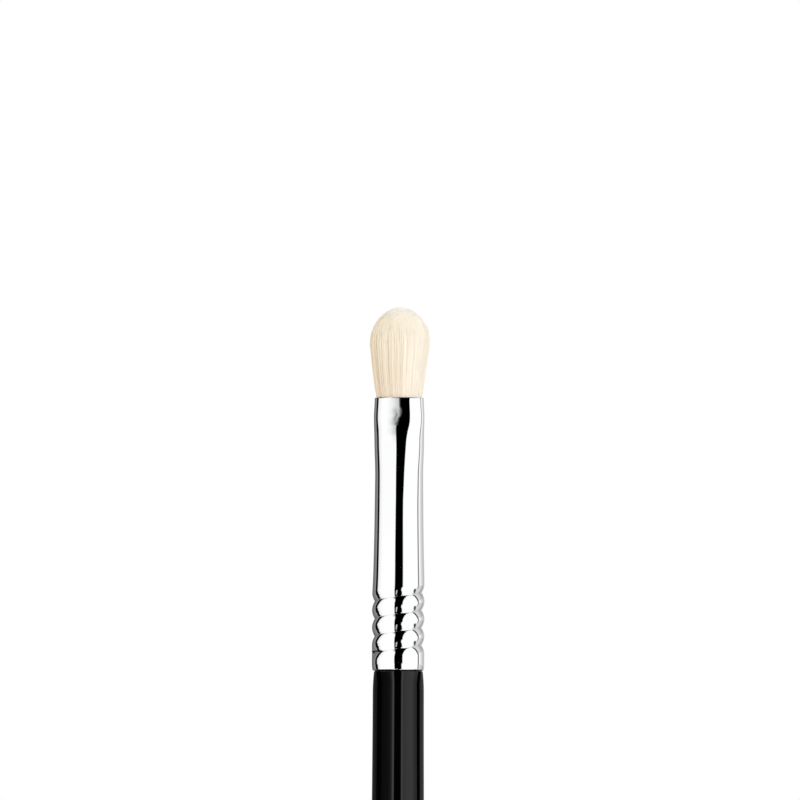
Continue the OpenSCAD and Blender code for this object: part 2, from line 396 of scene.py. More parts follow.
# %% Bands of strips
SPOT = [(-8.5, 0), (-5.5, 0.62), (-3.5, 0.62), (-0.5, 0)]
TUBE_BACK = [(113, 1), (117, 0.8), (133, 0.62), (147, 0.5), (180, 0.6)]
ROLL_BACK = [(115, 0.68), (125, 0.55), (140, 0.38), (150, 0.4), (162, 0.65), (180, 0.6)]


def band(left, middle, thin, grey, back=ROLL_BACK, spot=()):
    """Strips of one band: black line, dark middle with a spot in it, thin line, grey back."""
    behind_left = [(-180, 0.13), (-154, 0.15), (-138, 0.19), (left[0] - 1, 0.3)]
    black_line = [(left[0], 0), (left[1], 0), (left[1] + 2, 0.82), (-82, 1)]
    dark_middle = [(middle[0] - 1, 1), (middle[0], 0), *spot, (middle[1], 0), (middle[1] + 1, 1)]
    thin_line = [(thin[0] - 1.5, 1), (thin[0], grey), (thin[1], grey), (thin[1] + 3, back[0][1])]
    return behind_left + black_line + dark_middle + thin_line + back


# each band: the lowest elevation in degrees that it shows at, then its strips
BANDS = [
    (-90, band((-124, -108), (-14, 34), (98, 105), 0.7)),
    (-54, band((-122, -106), (-14, 29), (98, 105), 0.7, spot=SPOT)),
    (-46, band((-122, -105), (-14, 24), (98, 105), 0.4, spot=SPOT)),
    (-38, band((-121, -104), (-14, 21), (94, 106), 0.08, spot=SPOT)),
    (-34, band((-120, -103), (-14, 20), (87, 102), 0.07, spot=SPOT)),
    (-31, band((-119, -101), (-14.3, 18), (83.5, 99), 0.07, spot=SPOT)),
    (-26, band((-117, -99), (-15, 15.5), (82, 94), 0.08, spot=SPOT)),
    (-20.5, band((-118, -100), (-15.3, 15), (82, 90), 0.3)),
    (-18, band((-120, -102), (-15.8, 15), (97.5, 103), 0.3)),
    (-2, band((-122, -107.2), (-16.6, 19), (98, 104.5), 0.2, TUBE_BACK)),
    (6.5, band((-123.5, -107.5), (-17, 18.5), (95, 102), 0.2, TUBE_BACK)),
    (11, band((-124, -106), (-18, 18), (93.5, 100), 0.1)),
    (20, band((-125, -106.5), (-19, 20), (92, 98.5), 0.05)),
    (30, band((-127, -105.5), (-20, 23), (90, 97), 0)),
    (38, band((-129, -102), (-22, 28), (87.5, 95.5), 0)),
    (46, [(-180, 0.05), (-92, 0), (-89, 0.8), (-80, 1), (-45, 1), (-33, 0.8), (-26, 0),
          (38, 0), (40, 1), (84, 1), (87, 0.2), (94, 0.2), (98, 0.6), (180, 0.4)]),
    (54, [(-180, 0), (-120, 0), (-112, 0.8), (-60, 0.9), (-46, 0.7), (-35, 0),
          (50, 0), (62, 0.4), (90, 0.4), (180, 0.4)]),
    (63, [(-180, 0), (-130, 0), (-100, 0.8), (-70, 0.8), (-45, 0.15), (-30, 0), (180, 0.1)]),
]

# %% The paper round the brush
HEAD_Z, PAPER_R, PAPER_H = 150.0, 2000.0, 7000.0  # elevations count from HEAD_Z
PAPER_FLOOR_Z, FLOOR_HOLE_R, CEILING_HOLE_R = 2.0, 12.0, 1.0
BLEND = 0.5  # degrees over which one band melts into the next, to either side
paper_paint, paper_glow = glowing("paper_round_the_brush", PAPER_GLOW)
raised = split(paper_paint, placed(paper_paint, Location=(0, 0, -HEAD_Z * MM)))
away = length(paper_paint, placed(paper_paint, Scale=(1, 1, 0)))
climb = reckon(paper_paint, "ARCTAN2", raised["Z"], away)
bearing = bearing_of(paper_paint)
shade = strips(paper_paint, bearing, BANDS[0][1])
for low, stops in BANDS[1:]:
    above = spread(paper_paint, climb, 0, 1, math.radians(low - BLEND), math.radians(low + BLEND))
    shade = mixed(paper_paint, above, shade, strips(paper_paint, bearing, stops))
wire(paper_paint, shade, paper_glow.inputs["Color"])
paper = lathe("paper_round_the_brush", [(FLOOR_HOLE_R, PAPER_FLOOR_Z), (PAPER_R, PAPER_FLOOR_Z),
                                        (PAPER_R, PAPER_H), (CEILING_HOLE_R, PAPER_H)], SET_STEPS)
reflection_only(paper, paper_paint)
print(len(BANDS), "bands on the paper")

# %% [markdown]
# The lacquer mirrors only a twenty-fifth of the light, so the handle gets a sleeve of its
# own: a narrow card that stands close round it and ends just below the ferrule. Its
# strips are given by where they show on the handle, as an angle from the middle line,
# and are laid out at the bearing that the reflection from there meets.

# %% The sleeve round the handle
SLEEVE_R, SLEEVE_NECK_R, SLEEVE_GLOW = 5.0, 3.7, 1.3
SLEEVE_FOOT_Z, SLEEVE_BEND_Z, SLEEVE_TOP_Z = 0.5, RIM_Z - 1.8, RIM_Z - 0.02
SHOWN = [(-90, 0.1), (-57, 0.1), (-56, 0), (-42.5, 0), (-41, 0.035), (-34, 0.07), (-27, 0.08),
         (-21, 0.12), (-17, 0.2), (-14.2, 0.5), (-12.6, 1.2), (-10, 1.3), (-9.2, 0), (6.4, 0),
         (7, 1.25), (10, 1.2), (11, 0.76), (20, 0.9), (31, 0.97), (34, 0.85), (40, 0.5),
         (46.2, 0.43), (47.2, 0), (57, 0), (58, 0.2), (63, 0.34), (68, 0.22), (90, 0.12)]
sleeve_stops = []
for shown, level in SHOWN:
    sine = math.sin(math.radians(shown)) * SWELL_D / 2 / SLEEVE_R
    sleeve_stops.append((2 * shown - math.degrees(math.asin(sine)), level))
sleeve_stops = [(-180, 0.1)] + sleeve_stops + [(180, 0.12)]
sleeve_stops = [(at, level / SLEEVE_GLOW) for at, level in sleeve_stops]
sleeve_paint, sleeve_glow = glowing("handle_sleeve", SLEEVE_GLOW)
wire(sleeve_paint, strips(sleeve_paint, bearing_of(sleeve_paint), sleeve_stops),
     sleeve_glow.inputs["Color"])
sleeve = lathe("handle_sleeve", [(SLEEVE_R, SLEEVE_FOOT_Z), (SLEEVE_R, SLEEVE_BEND_Z),
                                 (SLEEVE_NECK_R, SLEEVE_TOP_Z)], SET_STEPS)
reflection_only(sleeve, sleeve_paint)
print(len(sleeve_stops), "strips on the sleeve")

# %% [markdown]
# The pressed head mirrors what stands close to it, and there the borders of the dark
# stripe lean and one of them melts into a soft grey smudge. A narrow card hangs just
# before the tube for that. Its strips run across it, from 0 at its left side over 0.5 at
# the stripe's left border and 0.9 at the right one to 1, so they lean with the borders.
# Its left side and its foot fade out, so that they draw no line on the metal.

# %% The card before the tube
CARD_R, CARD_LOW, CARD_SOLID, CARD_FINE, CARD_HIGH = 5.0, 141.8, 148.0, 158.0, 163.2
COARSE_ROWS, FINE_ROWS, CARD_COLUMNS = 40, 105, 40
AT_LEFT, AT_RIGHT, SIDE_FADE = 0.5, 0.9, 0.05  # places across the card, from 0 to 1
CARD_LEFT, CARD_SPILL = -60, 6  # bearing of its left side, and degrees past the right border
LEFT_BORDER = [(141.8, -10.4), (148.2, -10.5), (150, -11.1), (151.7, -12), (153.4, -12.7),
               (155, -13.3), (156.3, -14), (157.2, -14.8), (158.2, -16.8), (159, -19),
               (159.6, -19.2), (159.65, -14.8), (159.69, -11.4), (159.78, -8), (159.9, -6.6),
               (160.7, -7), (161, -9.5), (163.3, -10.1)]
RIGHT_BORDER = [(141.8, 12), (148.2, 13), (150, 14.2), (153.4, 15.8), (155, 16.8), (156.3, 18.5),
                (157.5, 20.9), (158.2, 22.4), (159, 25.2), (159.3, 25.8), (161.9, 25.6), (163.3, 28)]
SHADES = [  # each shade: from which height to which it fades in, then its strips
    (0, 0, [(0.45, 0.98), (0.496, 0.97), (0.504, 0)]),
    (155.5, 156.8, [(0.3, 1), (0.44, 0.87), (0.494, 0.85), (0.506, 0)]),
    (157.2, 158.2, [(0.1, 1), (0.3, 0.87), (0.4, 0.7), (0.48, 0.6), (0.497, 0.35), (0.52, 0)]),
    (159.33, 159.47, [(0.1, 1), (0.26, 0.82), (0.42, 0.48), (0.46, 0.28), (0.57, 0)]),
    (159.6, 159.67, [(0.1, 1), (0.25, 0.84), (0.33, 0.58), (0.385, 0.28), (0.41, 0.3), (0.45, 0.5),
                     (0.48, 0.35), (0.5, 0.15), (0.56, 0)]),
    (159.9, 160.3, [(0.08, 1), (0.22, 0.86), (0.3, 0.62), (0.36, 0.46), (0.41, 0.56), (0.45, 0.54),
                    (0.5, 0.2), (0.59, 0)]),
    (160.45, 161, [(0.1, 1), (0.28, 0.87), (0.41, 0.68), (0.48, 0.6), (0.5, 0.4), (0.52, 0.06),
                   (0.57, 0)]),
]
PAST_RIGHT = [(AT_RIGHT - 0.003, 0), (AT_RIGHT + 0.003, 1)]
card_z = np.concatenate([np.linspace(CARD_LOW, CARD_FINE, COARSE_ROWS + 1),
                         np.linspace(CARD_FINE, CARD_HIGH, FINE_ROWS + 1)[1:]])
bpy.ops.object.select_all(action="DESELECT")
bpy.ops.mesh.primitive_grid_add(x_subdivisions=CARD_COLUMNS, y_subdivisions=len(card_z) - 1, size=1)
card = bpy.context.object
card.name = card.data.name = "card_before_the_tube"
flat = np.zeros(len(card.data.vertices) * 3)
card.data.vertices.foreach_get("co", flat)
z = card_z[np.rint((flat[1::3] + 0.5) * (len(card_z) - 1)).astype(int)]
left, right_side = (np.interp(z, *zip(*border)) for border in (LEFT_BORDER, RIGHT_BORDER))
across = flat[0::3] + 0.5
outside_left = CARD_LEFT + (left - CARD_LEFT) * across / AT_LEFT
between = left + (right_side - left) * (across - AT_LEFT) / (AT_RIGHT - AT_LEFT)
outside_right = right_side + CARD_SPILL * (across - AT_RIGHT) / (1 - AT_RIGHT)
bearing = np.where(across < AT_LEFT, outside_left,
                   np.where(across < AT_RIGHT, between, outside_right))
turn = np.radians(bearing - 90) + CAMERA_TURN
bent = np.stack([CARD_R * np.cos(turn), CARD_R * np.sin(turn), z], axis=1) * MM
card.data.vertices.foreach_set("co", bent.ravel())
card.data.update()
print("card of", len(card.data.vertices), "points")

# %% Paint on the card
card_paint, card_glow = glowing("card_before_the_tube", PAPER_GLOW)
strip_at = split(card_paint, node(card_paint, "TexCoord").outputs["UV"])["X"]
height_at = split(card_paint, own_place(card_paint))["Z"]
shade = greys(card_paint, strip_at, SHADES[0][2] + PAST_RIGHT)
for start, full, stops in SHADES[1:]:
    above = spread(card_paint, height_at, 0, 1, start * MM, full * MM)
    shade = mixed(card_paint, above, shade, greys(card_paint, strip_at, stops + PAST_RIGHT))
wire(card_paint, shade, card_glow.inputs["Color"])
solid = reckon(card_paint, "MULTIPLY",
               spread(card_paint, height_at, 0, 1, CARD_LOW * MM, CARD_SOLID * MM),
               spread(card_paint, strip_at, 0, 1, 0, SIDE_FADE))
crossfade(card_paint, solid, node(card_paint, "BsdfTransparent"), card_glow)
reflection_only(card, card_paint)

# %% [markdown]
# The mouth's rolled edge looks further up than the tube does. A dark ring before it draws
# a thin dark line along it, with a gap to the left.

# %% The ring before the mouth
RING_R, RING_LOW, RING_HIGH = 4.9, 162.45, 172.0
RING_STRIPS = [(-180, 0.3), (-90, 0.05), (-70, 0.1), (-60, 0.9), (-42, 0.9), (-28, 0.05),
               (48, 0.03), (62, 0.7), (180, 0.5)]
ring_paint, ring_glow = glowing("ring_before_the_mouth")
wire(ring_paint, strips(ring_paint, bearing_of(ring_paint), RING_STRIPS), ring_glow.inputs["Color"])
ring = lathe("ring_before_the_mouth", [(RING_R, RING_LOW), (RING_R, RING_HIGH)], SET_STEPS)
reflection_only(ring, ring_paint)

# %% [markdown]
# The floor is pale and keeps the brush's shadow. Away from the brush it turns into the
# same white as the tent, so that no edge shows behind the object.

# %% Floor
FLOOR_R, SHADOW_R, WHITE_R = 6.0, 0.15, 0.6
bpy.ops.object.select_all(action="DESELECT")
bpy.ops.mesh.primitive_circle_add(vertices=SET_STEPS, radius=FLOOR_R, fill_type="NGON")
floor = bpy.context.object
floor.name = "studio_floor"
floor_paint, floor_shader = finish("floor_paint", (0.9, 0.9, 0.9), 0.8, specular=0.0)
far = length(floor_paint, own_place(floor_paint))
glow = node(floor_paint, "Emission", Strength=1.0, Color=(1, 1, 1, 1))
crossfade(floor_paint, spread(floor_paint, far, 0, 1, SHADOW_R, WHITE_R), floor_shader, glow)
floor.data.materials.append(floor_paint)
floor.visible_diffuse = False

# %% [markdown]
# ## The ferrule
#
# A ferrule is a drawn tube. Its foot is rolled round with a helical groove that bites
# the wood, and its head is pressed to an oval. It is made here as a maker would roll it
# from a sheet: a flat grid is bent round the axis, and each row of the grid is one
# height of the wall. In the crimp the rows climb with the groove, so the crease lies on
# an edge of the mesh all the way and stays crisp. The roll bites in abruptly and leaves a
# short fold there. The shade in that fold is painted: a value at each point, kept for the
# plating, darkens it nearly to black.

# %% The ferrule's wall
TAPER_Z = CRIMP_Z + CRIMP_PITCH * (CRIMP_TURNS - 0.25)
CRIMP_LOW = CRIMP_Z - CRIMP_PITCH / 2
CRIMP_HIGH = CRIMP_Z + CRIMP_PITCH * (CRIMP_TURNS + 0.5)
FRONT_LIFT, VALLEY_WIDTH = 0.05, 0.82
# where the fold's painted shade lies: its height, half width and blur, and its ends in degrees
FOLD_Z, FOLD_HALF_W, FOLD_BLUR = 2.64, 0.095, 0.05
FOLD_START, FOLD_FADE_IN, FOLD_END, FOLD_FADE_OUT = 198, 6, 250, 8  # degrees
FOOT_ASIDE, FOOT_BEND_Z, FOOT_BEND_L = -0.05, 13.5, 4.0
HEAD_ASIDE, HEAD_BEND_DROP, HEAD_BEND_L = -0.03, 8.0, 5.0


def round_r(h):
    """Radius of the round tube at a height above the lower rim."""
    lip = COLLAR_D / 2 - LIP_CURL * np.clip(1 - h / LIP_L, 0, 1) ** 2
    rest = np.clip(1 - (h - TAPER_Z) / TAPER_L, 0, 1) ** 2
    return np.where(h < TAPER_Z, lip, TUBE_D / 2 + (COLLAR_D - TUBE_D) / 2 * rest)


def head(h, drop, neck, brow, mouth):
    """How much the pressing of the head, from a drop below the mouth, adds to a half size."""
    neck_z, brow_z = FERRULE_L - NECK_DROP, FERRULE_L - BROW_DROP
    start_z = FERRULE_L - drop
    return ((neck - TUBE_D) / 2 * eased((h - start_z) / (neck_z - start_z))
            + (brow - neck) / 2 * eased((h - neck_z) / (brow_z - neck_z))
            + (mouth - brow) / 2 * eased((h - brow_z) / BROW_DROP))


def front_lift(angle):
    """How much higher the groove runs over the front, as the roll rocks on its seat."""
    return FRONT_LIFT * np.clip(np.sin(np.radians(angle - CRIMP_START)), 0, 1)


def painted_fold_shade(h, angle):
    """Painted shade where the roll first bit the wall: how dark its short fold is painted, from 0 to
    1.
    """
    ends = eased((angle - FOLD_START) / FOLD_FADE_IN) * eased((FOLD_END - angle) / FOLD_FADE_OUT)
    off = np.abs(h - front_lift(angle) - FOLD_Z)
    return ends * np.clip((FOLD_HALF_W - off) / FOLD_BLUR, 0, 1)


def aside(h):
    """Shift of the wall to the right in the picture. The foot and the head lie to the left."""
    foot = eased((FOOT_BEND_Z - h) / FOOT_BEND_L)
    top = eased((h - FERRULE_L + HEAD_BEND_DROP) / HEAD_BEND_L)
    return FOOT_ASIDE * foot + HEAD_ASIDE * top


def groove(h, angle):
    """Depth of the rolled groove at a height and an angle in degrees."""
    h = h - front_lift(angle)
    turn = np.round((h - CRIMP_Z) / CRIMP_PITCH - (angle - CRIMP_START) / 360)
    along = angle + 360 * turn - CRIMP_START
    valley = CRIMP_Z + CRIMP_PITCH * along / 360
    fade = (eased(along / CRIMP_RUN_IN)
            * eased((360 * CRIMP_TURNS - along) / CRIMP_RUN_OUT))
    off = np.minimum(np.abs(h - valley) / CRIMP_PITCH, 0.5)
    return CRIMP_DEPTH * fade * (1 - np.sin(np.pi * off) ** VALLEY_WIDTH)


# %% [markdown]
# The rows start at the foot's edge, go up the outside, round the mouth's rolled edge and
# down the inside again. The two ends of the grid and its two sides then meet and are
# merged, which leaves one closed wall.

# %% Rows of the sheet
SIDES, ROWS_PER_TURN = 160, 50
FOOT_ROUND, MOUTH_ROUND = 0.15, 0.14
EDGE_STEPS, COLLAR_ROWS, TUBE_ROWS, INSIDE_ROWS = 8, 8, 72, 60
INSIDE_TOP, INSIDE_FOOT = FERRULE_L - 0.05, 0.03
quarter = [math.pi / 2 * i / EDGE_STEPS for i in range(EDGE_STEPS + 1)]
rows = []  # height, inset, climb: how much of the groove's rise the row follows
for a in quarter:
    rows.append((FOOT_ROUND * (1 - math.cos(a)), FOOT_ROUND * (1 - math.sin(a)), 0))
for i in range(1, COLLAR_ROWS):
    rows.append((FOOT_ROUND + (CRIMP_LOW - FOOT_ROUND) * i / COLLAR_ROWS, 0, 0))
step = CRIMP_PITCH / ROWS_PER_TURN
first = CRIMP_Z - CRIMP_PITCH * CRIMP_START / 360
lowest = math.floor((CRIMP_LOW - first) / step) - ROWS_PER_TURN
highest = math.ceil((CRIMP_HIGH - first) / step)
for i in range(lowest, highest + 1):
    rows.append((first + step * i, 0, 1))
for i in range(1, TUBE_ROWS + 1):
    rows.append((CRIMP_HIGH + (FERRULE_L - MOUTH_ROUND - CRIMP_HIGH) * i / TUBE_ROWS, 0, 0))
for a in quarter[1:]:
    rows.append((FERRULE_L - MOUTH_ROUND * (1 - math.sin(a)), MOUTH_ROUND * (1 - math.cos(a)), 0))
for i in range(INSIDE_ROWS + 1):
    rows.append((INSIDE_TOP - (INSIDE_TOP - INSIDE_FOOT) * i / INSIDE_ROWS, WALL, 0))
rows.append(rows[0])
row_z, row_inset, row_climb = (np.array(column, float) for column in zip(*rows))
print(len(rows), "rows")

# %% Roll the sheet
ON_VALLEY, CREASE_DEPTH = 0.01, 0.06
bpy.ops.object.select_all(action="DESELECT")
bpy.ops.mesh.primitive_grid_add(x_subdivisions=SIDES, y_subdivisions=len(rows) - 1, size=1)
ferrule = bpy.context.object
ferrule.name = ferrule.data.name = "plated_ferrule"
flat = np.zeros(len(ferrule.data.vertices) * 3)
ferrule.data.vertices.foreach_get("co", flat)
flat = flat.reshape(-1, 3)
share = flat[:, 0] + 0.5
row = np.rint((flat[:, 1] + 0.5) * (len(rows) - 1)).astype(int)
angle = 360 * share
h = row_z[row] + (CRIMP_PITCH * share + front_lift(angle)) * row_climb[row]
h = np.where(row_climb[row] > 0, np.clip(h, CRIMP_LOW, CRIMP_HIGH), h)
inset = row_inset[row] + groove(h, angle)
half_w = round_r(h) + head(h, FLARE_DROP, NECK_W, BROW_W, MOUTH_W) - inset
half_t = round_r(h) + head(h, OVAL_DROP, NECK_T, BROW_T, MOUTH_T) - inset
turn = np.radians(np.where(share > 0.999999, 0, angle))
rolled = np.stack([half_w * np.cos(turn) + aside(h) * math.cos(CAMERA_TURN),
                   half_t * np.sin(turn) + aside(h) * math.sin(CAMERA_TURN), RIM_Z + h],
                  axis=1) * MM
ferrule.data.vertices.foreach_set("co", rolled.ravel())
ferrule.data.update()
off_valley = np.abs(np.remainder((row_z[row] - first) / CRIMP_PITCH + 0.5, 1) - 0.5)
in_valley = (row_climb[row] > 0) & (off_valley < ON_VALLEY) & (groove(h, angle) > CREASE_DEPTH)
ends = np.zeros(len(ferrule.data.edges) * 2, int)
ferrule.data.edges.foreach_get("vertices", ends)
ends = ends.reshape(-1, 2)
crease = in_valley[ends].all(axis=1) & (row[ends[:, 0]] == row[ends[:, 1]])
ferrule.data.attributes.new("sharp_edge", "BOOLEAN", "EDGE").data.foreach_set("value", crease)
print(int(crease.sum()), "edges along the crease")
# the painted shade of the fold, kept at each point for the plating
fold_shade_mask = np.where(row_climb[row] > 0, painted_fold_shade(h, angle), 0).astype(np.float32)
ferrule.data.attributes.new("painted_fold_shade", "FLOAT", "POINT").data.foreach_set("value", fold_shade_mask)
pick_only(ferrule)
bpy.ops.object.mode_set(mode="EDIT")
bpy.ops.mesh.select_all(action="SELECT")
bpy.ops.mesh.remove_doubles(threshold=MERGE_WITHIN)
bpy.ops.mesh.select_all(action="SELECT")
bpy.ops.mesh.dissolve_degenerate(threshold=MERGE_WITHIN)
bpy.ops.mesh.select_all(action="SELECT")
bpy.ops.mesh.normals_make_consistent(inside=False)
bpy.ops.object.mode_set(mode="OBJECT")
bpy.ops.object.shade_smooth()

# %% [markdown]
# Bright nickel or chrome plating is nearly a mirror. What tells it from a perfect one is
# slight: a faint haze that comes and goes, hair-thin polishing lines round the tube, and
# a very shallow waviness left by the drawing. In the fold its colour is painted nearly
# black, as painted shade.

# %% Plating
# the fold's colour is painted shade, nearly black
NICKEL, FOLD_PAINTED_SHADE = (0.955, 0.958, 0.965), (0.003, 0.003, 0.003)
plating, shader = finish("bright_plating", NICKEL, 0.03, metallic=1.0)
haze = noise(plating, (1, 1, 1), 260, 3)
lines = noise(plating, (60, 60, 2400), 6, 2)
fold_shade_of = node(plating, "Attribute")
fold_shade_of.attribute_name = "painted_fold_shade"
wire(plating, spread(plating, haze, 0.012, 0.05), shader.inputs["Roughness"],
     tinted(plating, fold_shade_of.outputs["Fac"], [(0, NICKEL), (0.35, FOLD_PAINTED_SHADE)]),
     shader.inputs["Base Color"])
bumped(plating, shader, lines, 1.2e-7)
hand_over(ferrule, plating, "bright_plating", "ferrule")

# %% [markdown]
# ## The handle
#
# The handle is turned from wood and dipped in black lacquer. What shows is the lacquer,
# so the coat is the piece: a thin closed shell, spun from its outline. It swells where
# the fingers hold it, and narrows to a straight tail.

# %% The handle's outline
def handle_r(z):
    """Radius of the handle at a height above its tip."""
    neck = SHOULDER_R + SHOULDER_RISE
    if z <= TAIL_L:
        return TAIL_D / 2
    if z < SWELL_Z:
        t = (1 - math.cos(math.pi * (z - TAIL_L) / (SWELL_Z - TAIL_L))) / 2
        return TAIL_D / 2 + (SWELL_D - TAIL_D) / 2 * t
    if z < HANDLE_L - SHOULDER_L:
        t = float(eased((z - SWELL_Z) / (HANDLE_L - SHOULDER_L - SWELL_Z)))
        return SWELL_D / 2 + (neck - SWELL_D / 2) * t
    return neck - SHOULDER_RISE * ((z - HANDLE_L + SHOULDER_L) / SHOULDER_L) ** 2


def coat_outline(inset, tip_inset, tip_steps, steps):
    """Points from the tip up to the ferrule, drawn in by the coat's thickness."""
    tip = [((TAIL_D / 2 - tip_inset) * math.sin(a), TIP_L - (TIP_L - tip_inset) * math.cos(a))
           for a in (math.pi / 2 * i / tip_steps for i in range(tip_steps + 1))]
    heights = [TIP_L + (HANDLE_L - TIP_L) * i / steps for i in range(1, steps + 1)]
    return tip + [(handle_r(z) - inset, z) for z in heights]


# %% Dip the handle
COAT_STEPS = 128
outer = coat_outline(0, 0, 14, 170)
inner = coat_outline(COAT_T, TIP_COAT_T, 8, 60)
rounded_rim = [(handle_r(HANDLE_L - 0.2), 0.2), (SHOULDER_R, 0.16), (SHOULDER_R - 0.05, 0.11),
               (SHOULDER_R - 0.11, 0.02), (SHOULDER_R - 0.115, 0)]  # radius, drop from the end
outer[-1:] = [(radius, HANDLE_L - drop) for radius, drop in rounded_rim]
coat = lathe("lacquered_handle", outer + inner[::-1], COAT_STEPS)

# %% [markdown]
# The lacquer is black and wet-looking. Under a lamp it shows fine dust and the faintest
# orange peel, both of which are far smaller than the handle's own curve.

# %% Lacquer
lacquer, shader = finish("black_lacquer", (0.0008, 0.0008, 0.0009), 0.02)
peel = noise(lacquer, (1, 1, 0.4), 420, 2)
dust = noise(lacquer, (1, 1, 1), 1500, 6)
wire(lacquer, spread(lacquer, dust, 0.01, 0.035), shader.inputs["Roughness"])
patterned(lacquer, shader, peel,
          [(0.3, (0.0004, 0.0004, 0.0005)), (0.75, (0.0014, 0.0014, 0.0015))], 3e-7)
hand_over(coat, lacquer, "black_lacquer", "lacquer_coat")

# %% [markdown]
# ## The tuft
#
# The tuft is thousands of soft hairs that are tied, set in the ferrule and spread to a
# dome. A solid heart stands for the hair that can't be seen, and thousands of single
# hairs cover it. The heart is an oval ring that is extruded up and scaled at each height.

# %% The bundle's shape
ROOT_Z, ROOM = -1.85, 0.02
INNER_W, INNER_T = MOUTH_W / 2 - WALL - ROOM, MOUTH_T / 2 - WALL - ROOM
RIM_SWELL, RIM_SWELL_Z, BELLY_SWELL = 0.06, 1.4, 0.06


def bundle(z, half, belly):
    """Half size of the bundle at a height above the mouth."""
    t = np.clip(z / BELLY_Z, -0.3, 1)
    over_rim = RIM_SWELL * np.exp(-(z - RIM_SWELL_Z) ** 2)
    return half + (belly - half) * (t + BELLY_SWELL * np.sin(np.pi * np.clip(t, 0, 1))) + over_rim


def crown_z(reach):
    """Height of the dome where a hair of that reach, from 0 to 1, ends."""
    return BELLY_Z + DOME_L * np.sqrt(np.clip(1 - reach * reach, 0, 1))


# %% The heart of the tuft
HEART_SHARE, HEART_RINGS, HEART_SIDES = 0.93, 12, 64
HEART_DOME, HEART_PEAK = 0.94, 0.025
core_rings = [(z, HEART_SHARE) for z in np.linspace(ROOT_Z, BELLY_Z, HEART_RINGS)]
for a in np.radians(np.linspace(8, 84, HEART_RINGS)):
    dome = (HEART_DOME + HEART_PEAK * math.sin(a) ** 3) * DOME_L * math.sin(a)
    core_rings.append((BELLY_Z + dome, HEART_SHARE * math.cos(a)))
bpy.ops.object.select_all(action="DESELECT")
bpy.ops.mesh.primitive_circle_add(vertices=HEART_SIDES, radius=MM, location=(0, 0, 0))
heart = bpy.context.object
heart.name = heart.data.name = "tuft_heart"
bpy.ops.object.mode_set(mode="EDIT")
bpy.ops.mesh.select_all(action="SELECT")
size_now, z_now = (1.0, 1.0), 0.0
for z, reach in core_rings:
    size = (float(bundle(z, INNER_W, TUFT_W / 2)) * reach,
            float(bundle(z, INNER_T, TUFT_T / 2)) * reach)
    centre = (0, 0, (MOUTH_Z + z) * MM)
    lift = {"value": (0, 0, centre[2] - z_now)}
    if z_now == 0:
        bpy.ops.transform.translate(**lift)
        bpy.ops.mesh.edge_face_add()
    else:
        bpy.ops.mesh.extrude_region_move(TRANSFORM_OT_translate=lift)
    bpy.ops.transform.resize(value=(size[0] / size_now[0], size[1] / size_now[1], 1),
                             center_override=centre)
    size_now, z_now = size, centre[2]
bpy.ops.mesh.select_all(action="SELECT")
bpy.ops.mesh.normals_make_consistent(inside=False)
bpy.ops.object.mode_set(mode="OBJECT")
bpy.ops.object.transform_apply(location=True, rotation=True, scale=True)
bpy.ops.object.shade_smooth()

# %% [markdown]
# One hair is modelled: a thin three-sided tube, extruded ring by ring and drawn to a
# point. All the others are copies of it that follow their own path from the root to the
# dome. Each copy keeps a tint, which the material reads.

# %% One hair
# thickness at each ring, and how far along the hair the rings and the point are
TAPER = [0.95, 1, 1.08, 1.18, 1.26, 1.28, 1.22, 1.05, 0.75]
ALONG = [0, 0.28, 0.48, 0.62, 0.72, 0.81, 0.88, 0.95, 0.99, 1]
bpy.ops.object.select_all(action="DESELECT")
bpy.ops.mesh.primitive_circle_add(vertices=3, radius=1)
pattern = bpy.context.object
bpy.ops.object.mode_set(mode="EDIT")
bpy.ops.mesh.select_all(action="SELECT")
for i in range(1, len(TAPER)):
    rise = {"value": (0, 0, ALONG[i] - ALONG[i - 1])}
    bpy.ops.mesh.extrude_region_move(TRANSFORM_OT_translate=rise)
    ratio = TAPER[i] / TAPER[i - 1]
    bpy.ops.transform.resize(value=(ratio, ratio, 1), center_override=(0, 0, ALONG[i]))
bpy.ops.mesh.extrude_region_move(TRANSFORM_OT_translate={"value": (0, 0, 1 - ALONG[-2])})
bpy.ops.mesh.merge(type="CENTER")
bpy.ops.object.mode_set(mode="OBJECT")
hair_points = np.array([v.co[:] for v in pattern.data.vertices])
hair_faces = [list(f.vertices) for f in pattern.data.polygons]
bpy.data.objects.remove(pattern)
print("one hair:", len(hair_points), "points,", len(hair_faces), "faces")

# %% [markdown]
# The roots fill the mouth evenly, along a spiral like the seeds of a sunflower. A hair
# rises with its neighbours until it meets the dome, and is combed over it for the rest
# of its length, so the points lie on one another like thatch. Neighbours lean together
# into faint locks, and lengths vary by a few tenths of a millimetre. The hair is parted
# into locks in front and behind, and lies smoothest at the right.

# %% Roots of all the hairs
HAIRS, HAIR_D, ROOT_REACH = 12000, 0.066, 0.998
GOLDEN_ANGLE = math.pi * (3 - math.sqrt(5))
LEFT_DROP, RIGHT_DROP = 0.22, 0.1  # how much lower the crown is at its two sides
PARTED_AT = math.radians(-22)  # where the hair is parted most, to the camera's right
LOCK_LEAN, OWN_LEAN = 0.012, 0.006  # how far hairs lean, as shares of the mouth
SHORTER, UNEVEN, RAISED = 0.3, 0.05, 0.03  # where hairs end, against the dome
LEAST_SINK, SINK = 0.002, 0.02  # how deep hairs lie in the dome
STRAYS, STRAY_OUT = 0.006, 0.06  # the share of stray hairs, and how far out they stand
TONE, LEAST_VARIED, VARIED = 0.53, 0.02, 0.17  # the middle tint, and how tints vary
rng = np.random.default_rng(11)
index = np.arange(HAIRS)
reach = np.sqrt((index + 0.5) / HAIRS)
bearing = index * GOLDEN_ANGLE + rng.normal(0, 0.01, HAIRS)
root = np.stack([reach * np.cos(bearing), reach * np.sin(bearing)], axis=1) * ROOT_REACH
print(HAIRS, "roots, each at its place in the mouth")


